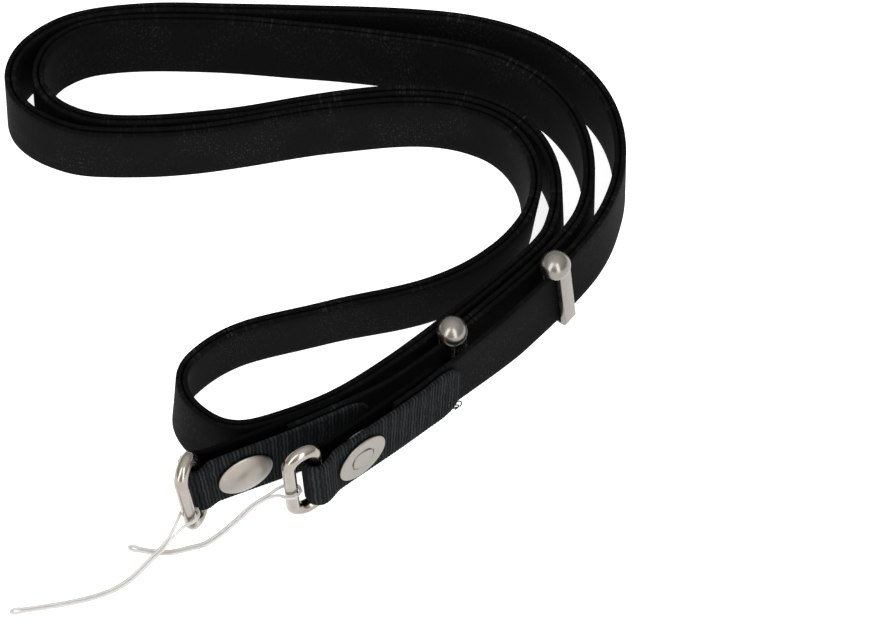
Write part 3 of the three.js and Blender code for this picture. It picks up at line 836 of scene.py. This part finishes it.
def disc(name, node, end, place, profile, out, material):
    at, _, up, side = end_frame(end, place)
    axis = side if out >= 0 else -side
    points = [Vector((0, 0, profile[0][1]))]
    for radius, height in profile[1:-1]:
        points += [Vector((radius * math.cos(a), radius * math.sin(a), height)) for a in circle(DISC_PARTS)]
    points.append(Vector((0, 0, profile[-1][1])))
    faces = []
    last = 1 + (len(profile) - 3) * DISC_PARTS
    for k in range(DISC_PARTS):
        m = (k + 1) % DISC_PARTS
        faces.append((0, 1 + m, 1 + k))
        for a in range(1, last, DISC_PARTS):
            b = a + DISC_PARTS
            faces.append((a + k, a + m, b + m, b + k))
        faces.append((last + k, last + m, len(points) - 1))
    basis = Matrix((up.cross(axis), up, axis)).transposed().to_4x4()
    basis.translation = (at + side * out) * MM
    declare(mesh_piece(name, points, faces, material, place=basis), node)


def rounded(points, parts=5):
    """Profile whose corners are rounded by the length listed with each; zero keeps a corner"""
    out = []
    for i, (x, y, radius) in enumerate(points):
        here = Vector((x, y))
        if not radius:
            out.append((x, y))
            continue
        before = (Vector(points[i - 1][:2]) - here).normalized() * radius
        after = (Vector(points[i + 1][:2]) - here).normalized() * radius
        for k in range(parts + 1):
            s = k / parts
            spot = (here + before) * (1 - s) ** 2 + here * 2 * s * (1 - s) + (here + after) * s ** 2
            out.append(tuple(spot))
    return out


# Profiles of the discs, from the axis out and back to it: radius, height and rounding
OUTER = SNAP / 2
BOSS = CAP_BOSS / 2
HUB = CORE / 2
CAP_FACE = SPACING + RIBBON / 2 + SNAP_GAP
HALF_SOCKET = SPACING - RIBBON / 2 - SNAP_GAP
HALF_FLANGE = FLANGE_WALL / 2
DOME_FOOT = CAP_RIM * 0.8
DOME_TOP = CAP_RIM + CAP_DOME
DOME_PARTS = 20
DOME_FULLNESS = 0.9
DOME_RISE = 1.1
BOSS_FACE = CAP_RIM + BOSS_STEP
GROOVE = CAP_RIM - 0.2
REAR_HOLLOW = BACK_WALL - 0.25

dome = []
for part in range(1, DOME_PARTS):
    angle = math.pi / 2 * part / DOME_PARTS
    height = DOME_FOOT + (DOME_TOP - DOME_FOOT) * math.sin(angle) ** DOME_RISE
    dome.append((OUTER * math.cos(angle) ** DOME_FULLNESS, height))
domed = [
    (0, 0), *rounded([(OUTER - 0.4, 0, 0), (OUTER, 0.05, 0.2), (OUTER, DOME_FOOT, 0)]), *dome, (0, DOME_TOP),
]
flat = [(0, 0), *rounded([
    (OUTER - 0.3, 0, 0), (OUTER, 0.05, 0.1), (OUTER, CAP_RIM, 0.2), (OUTER - 0.5, CAP_RIM + 0.03, 0),
    (BOSS + 0.2, CAP_RIM, 0.04), (BOSS + 0.12, GROOVE, 0.03), (BOSS - 0.08, GROOVE, 0.03),
    (BOSS - 0.16, BOSS_FACE, 0.06), (BOSS - 0.6, BOSS_FACE, 0),
]), (0, BOSS_FACE)]
socket = [(0, -HALF_SOCKET), *rounded([
    (HUB - 0.3, -HALF_SOCKET, 0), (HUB, -HALF_SOCKET, 0.08), (HUB, -HALF_FLANGE, 0.02),
    (OUTER, -HALF_FLANGE, 0.1), (OUTER, HALF_FLANGE, 0.1), (HUB, HALF_FLANGE, 0.02),
    (HUB, HALF_SOCKET, 0.08), (HUB - 0.3, HALF_SOCKET, 0),
]), (0, HALF_SOCKET)]
rear = [(0, 0), *rounded([
    (OUTER - 0.4, 0, 0), (OUTER, 0.02, 0.1), (OUTER, BACK_WALL * 0.6, 0.12),
    (OUTER - 0.5, BACK_WALL, 0.15), (BOSS + 0.6, BACK_WALL, 0.08), (BOSS + 0.3, REAR_HOLLOW, 0.08),
    (BOSS - 0.2, REAR_HOLLOW, 0),
]), (0, REAR_HOLLOW)]

cap_stuff = nickel_plate("turned_nickel_cap", "#918b84", "#847e78", 0.3, 0.36, turned=0.75)
plain_stuff = nickel_plate("nickel_plated_disc", "#807c77", "#76726d", 0.3, 0.4)
disc("domed_cap_a", "snap_a_cap", END_A, SNAP_A_PLACE, domed, CAP_FACE, cap_stuff)
disc("snap_socket_a", "snap_a_socket", END_A, SNAP_A_PLACE, socket, 0, plain_stuff)
disc("snap_rear_a", "snap_a_back", END_A, SNAP_A_PLACE, rear, -CAP_FACE, plain_stuff)
disc("flat_cap_b", "snap_b_cap", END_B, SNAP_B_PLACE, flat, CAP_FACE, plain_stuff)
disc("snap_socket_b", "snap_b_socket", END_B, SNAP_B_PLACE, socket, 0, plain_stuff)
disc("snap_rear_b", "snap_b_back", END_B, SNAP_B_PLACE, rear, -CAP_FACE, plain_stuff)


# Ball adjusters: a band with a thick near leg and a ball on its top, cast in one
SLOT_ACROSS = PITCH + WEB + 2 * BAND_CLEAR
SLOT_HIGH = STRAP_WIDTH + 2 * BAND_CLEAR
BAND_HIGH = SLOT_HIGH + 2 * BAND_WALL
SLOT_ROUND = 0.25
BAND_SOFT = 0.14
SOFT_SHARE_LIMIT = 0.45
BOX_CORNER_PARTS = 8
EDGE_PARTS = 3
BALL_TURNS = 64
BALL_RINGS = 40


def rounded_box(wide, high, corner, shift):
    """Rounded rectangle, the same number of points for every size"""
    points = []
    for quarter, (x, y) in enumerate(((1, 1), (-1, 1), (-1, -1), (1, -1))):
        for k in range(BOX_CORNER_PARTS + 1):
            a = math.pi / 2 * (quarter + k / BOX_CORNER_PARTS)
            points.append((shift + x * (wide / 2 - corner) + corner * math.cos(a),
                           y * (high / 2 - corner) + corner * math.sin(a)))
    return points


def band(shift):
    """Points and faces of the band, in across, up and along, with softened edges"""
    outer = rounded_box(SLOT_ACROSS + LEG_WALL + BAND_WALL, BAND_HIGH, 2 * BAND_WALL, shift)
    inner = rounded_box(SLOT_ACROSS, SLOT_HIGH, SLOT_ROUND, 0)
    end = BAND_WIDTH / 2 - BAND_SOFT
    rows = []
    for (outer_x, outer_y), (inner_x, inner_y) in zip(outer, inner):
        wide = outer_x - inner_x
        high = outer_y - inner_y
        share = min(BAND_SOFT / math.hypot(wide, high), SOFT_SHARE_LIMIT)
        corners = ((1 - share, end), (share, end), (share, -end), (1 - share, -end))
        row = []
        for quarter, (out, z) in enumerate(corners):
            for k in range(EDGE_PARTS + 1):
                a = math.pi / 2 * (quarter + k / EDGE_PARTS)
                reach = out + share * math.cos(a)
                row.append(Vector((
                    inner_x + wide * reach, inner_y + high * reach, z + BAND_SOFT * math.sin(a),
                )))
        rows.append(row)
    return swept(rows, closed=True)


def cut_ball(shift):
    """Points and faces of the ball, cut away inside the slot"""
    centre = Vector((shift, BAND_HIGH / 2 + BALL_RISE, 0))
    rows = []
    for i in range(1, BALL_RINGS):
        a = math.pi * i / BALL_RINGS
        rows.append([
            centre + Vector((math.sin(a) * math.cos(b), math.cos(a), math.sin(a) * math.sin(b))) * (BALL / 2)
            for b in circle(BALL_TURNS)
        ])
    ball = plain_mesh("ball", *swept(rows))
    wide = SLOT_ACROSS / 2 + BALL_CLEAR
    corners = [Vector((x, y, z)) for x in (-wide, wide) for y in (-SLOT_HIGH / 2, SLOT_HIGH / 2)
               for z in (-BALL, BALL)]
    sides = [(0, 1, 3, 2), (4, 6, 7, 5), (0, 4, 5, 1), (2, 3, 7, 6), (0, 2, 6, 4), (1, 5, 7, 3)]
    cutter = plain_mesh("cutter", corners, sides)
    cut = ball.modifiers.new("cut", "BOOLEAN")
    cut.operation = "DIFFERENCE"
    cut.solver = "EXACT"
    cut.object = cutter
    bpy.context.view_layer.update()
    done = ball.evaluated_get(bpy.context.evaluated_depsgraph_get()).to_mesh()
    points = [v.co.copy() for v in done.vertices]
    faces = [tuple(p.vertices) for p in done.polygons]
    for spare in (ball, cutter):
        bpy.data.objects.remove(spare)
    return points, faces


def adjuster(name, node, distance, viewer, tilt, material):
    at, along, side, up = web_frame(knot_at(distance))
    turn = Matrix.Rotation(math.radians(tilt), 3, side)
    up = turn @ up
    along = turn @ along
    shift = viewer * (LEG_WALL - BAND_WALL) / 2
    points, faces = band(shift)
    ball_points, ball_faces = cut_ball(shift)
    faces += [tuple(len(points) + i for i in face) for face in ball_faces]
    points = [at + side * p.x + up * p.y + along * p.z for p in points + ball_points]
    declare(mesh_piece(name, points, faces, material), node)


ball_stuff = nickel_plate("satin_nickel_casting", "#7f7b76", "#716d68", 0.24, 0.32)
adjuster("ball_adjuster_1", "adjuster_1", FULL - ADJUSTER_1_PLACE, 1, 0, ball_stuff)
adjuster("ball_adjuster_2", "adjuster_2", ADJUSTER_2_PLACE, -1, -ADJUSTER_2_TILT, ball_stuff)


# Floor and studio light, in metres and watts
FLOOR_HALF = 3
SOFTBOX_WIDE = 0.3
SOFTBOX_HIGH = 1.3
SOFTBOX_POWER = 6.5
GLOW_RISE = (0.3, 1)
GLOW_STRENGTH = (0.75, 1.8)


def floor():
    material, tree = new_material("white_studio_card")
    finish_material(tree, {
        "Base Color": hue("#dcdcdc"), "Roughness": 0.9, "Specular IOR Level": 0.1,
        "Emission Color": hue("#ffffff"), "Emission Strength": 0.85,
    })
    mesh = bpy.data.meshes.new("floor")
    corners = [(x * FLOOR_HALF, y * FLOOR_HALF, 0) for x, y in ((-1, -1), (1, -1), (1, 1), (-1, 1))]
    mesh.from_pydata(corners, [], [(0, 1, 2, 3)])
    mesh.materials.append(material)
    new_object("floor", mesh)


def softbox(name, place):
    """A soft lamp, turned to the object"""
    data = bpy.data.lights.new(name, "AREA")
    data.shape = "RECTANGLE"
    data.size = SOFTBOX_WIDE
    data.size_y = SOFTBOX_HIGH
    data.energy = SOFTBOX_POWER
    lamp = new_object(name, data)
    lamp.location = place
    lamp.rotation_euler = (-Vector(place)).to_track_quat("-Z", "Y").to_euler()


def light():
    world = bpy.data.worlds.new("studio")
    world.use_nodes = True
    tree = world.node_tree
    tree.nodes.clear()
    way = add(tree, "ShaderNodeTexCoord").outputs["Generated"]
    rise = add(tree, "ShaderNodeSeparateXYZ", {"Vector": way}).outputs["Z"]
    strength = remap(tree, rise, *GLOW_RISE, *GLOW_STRENGTH)
    glow = add(tree, "ShaderNodeBackground", {"Color": hue("#f2f1ee"), "Strength": strength})
    add(tree, "ShaderNodeOutputWorld", {"Surface": glow.outputs["Background"]})
    bpy.context.scene.world = world
    softbox("left_softbox", (-0.567, -0.63, 0.53))
    softbox("right_softbox", (0.358, -0.769, 0.53))


floor()
light()
bpy.context.scene.view_settings.view_transform = "Standard"
